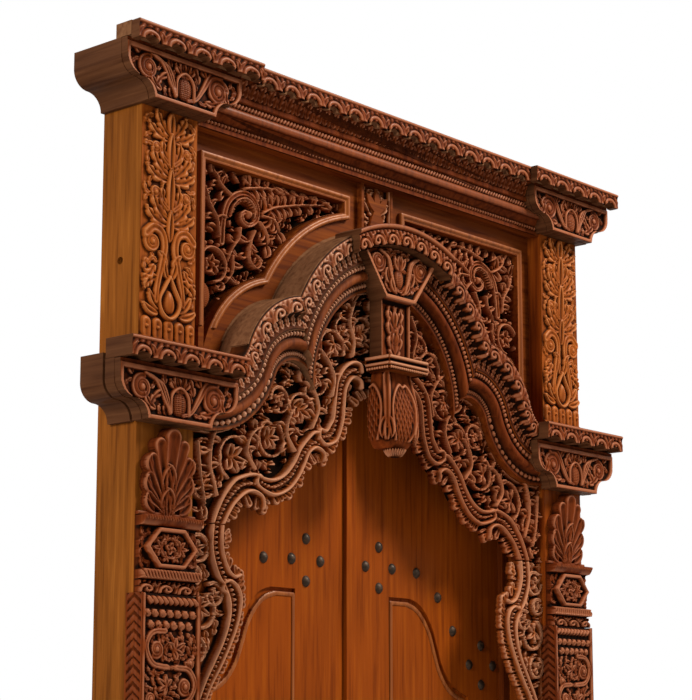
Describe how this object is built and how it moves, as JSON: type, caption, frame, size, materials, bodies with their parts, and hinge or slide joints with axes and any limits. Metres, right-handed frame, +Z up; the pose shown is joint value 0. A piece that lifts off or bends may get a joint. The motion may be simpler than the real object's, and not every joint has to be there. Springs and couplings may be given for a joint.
{
  "type": "carved double door with frame",
  "caption": "Carved wooden double door in its frame: posts with capitals carry a lobed arch with a pendant, pierced panels and a moulded cornice; the leaves swing inward on hinges.",
  "frame": {"origin": "on the floor, midway between the posts and on their centre plane", "axes": "+Z up, +X to the right seen from the carved front, -Y towards the viewer of the front"},
  "size_m": [1.5, 0.236, 2.676],
  "materials": {
    "plain_teak": "satin",
    "carved_teak": "satin",
    "leaf_teak": "satin",
    "dark_teak": "matt",
    "dark_board": "matt",
    "iron": "satin"
  },
  "bodies": {
    "frame": {"left_post": "plain_teak", "right_post": "plain_teak", "head_beam": "plain_teak", "threshold": "plain_teak", "cornice_moulding": "carved_teak", "crown": "carved_teak", "left_crown_cap": "carved_teak", "right_crown_cap": "carved_teak", "left_cornice_block": "dark_teak", "right_cornice_block": "dark_teak", "left_block_face": "carved_teak", "right_block_face": "carved_teak", "left_transom_frame": "plain_teak", "right_transom_frame": "plain_teak", "left_transom_fret": "carved_teak", "right_transom_fret": "carved_teak", "left_transom_backing": "dark_board", "right_transom_backing": "dark_board", "transom_mullion": "carved_teak", "left_arch": "carved_teak", "right_arch": "carved_teak", "keystone": "carved_teak", "keystone_cap": "carved_teak", "pendant_ledge": "carved_teak", "pendant": "carved_teak", "left_spandrel": "carved_teak", "right_spandrel": "carved_teak", "left_spandrel_backing": "dark_board", "right_spandrel_backing": "dark_board", "left_side_fret": "carved_teak", "right_side_fret": "carved_teak", "left_capital": "dark_teak", "right_capital": "dark_teak", "left_capital_face": "carved_teak", "right_capital_face": "carved_teak", "left_capital_slab": "carved_teak", "right_capital_slab": "carved_teak", "left_rear_capital": "dark_teak", "right_rear_capital": "dark_teak", "left_upper_pilaster": "carved_teak", "right_upper_pilaster": "carved_teak", "left_leaf_console": "carved_teak", "right_leaf_console": "carved_teak", "left_boss_block": "carved_teak", "right_boss_block": "carved_teak", "left_shaft": "carved_teak", "right_shaft": "carved_teak", "left_jamb": "plain_teak", "right_jamb": "plain_teak", "head_lining": "plain_teak", "jamb_hinge_plates": "iron", "hinge_pins": "iron"},
    "left_leaf": {"left_leaf": "leaf_teak", "left_studs": "iron", "left_hinge_plates": "iron"},
    "right_leaf": {"right_leaf": "leaf_teak", "right_studs": "iron", "right_hinge_plates": "iron", "meeting_strip": "leaf_teak"}
  },
  "joints": [
    {"name": "left_leaf_swing", "type": "hinge", "parent": "frame", "child": "left_leaf", "pos_m": [-0.53, 0.1065, 1], "axis": [0, 0, 1], "range_deg": [0, 100]},
    {"name": "right_leaf_swing", "type": "hinge", "parent": "frame", "child": "right_leaf", "pos_m": [0.53, 0.1065, 1], "axis": [0, 0, -1], "range_deg": [0, 100]}
  ]
}
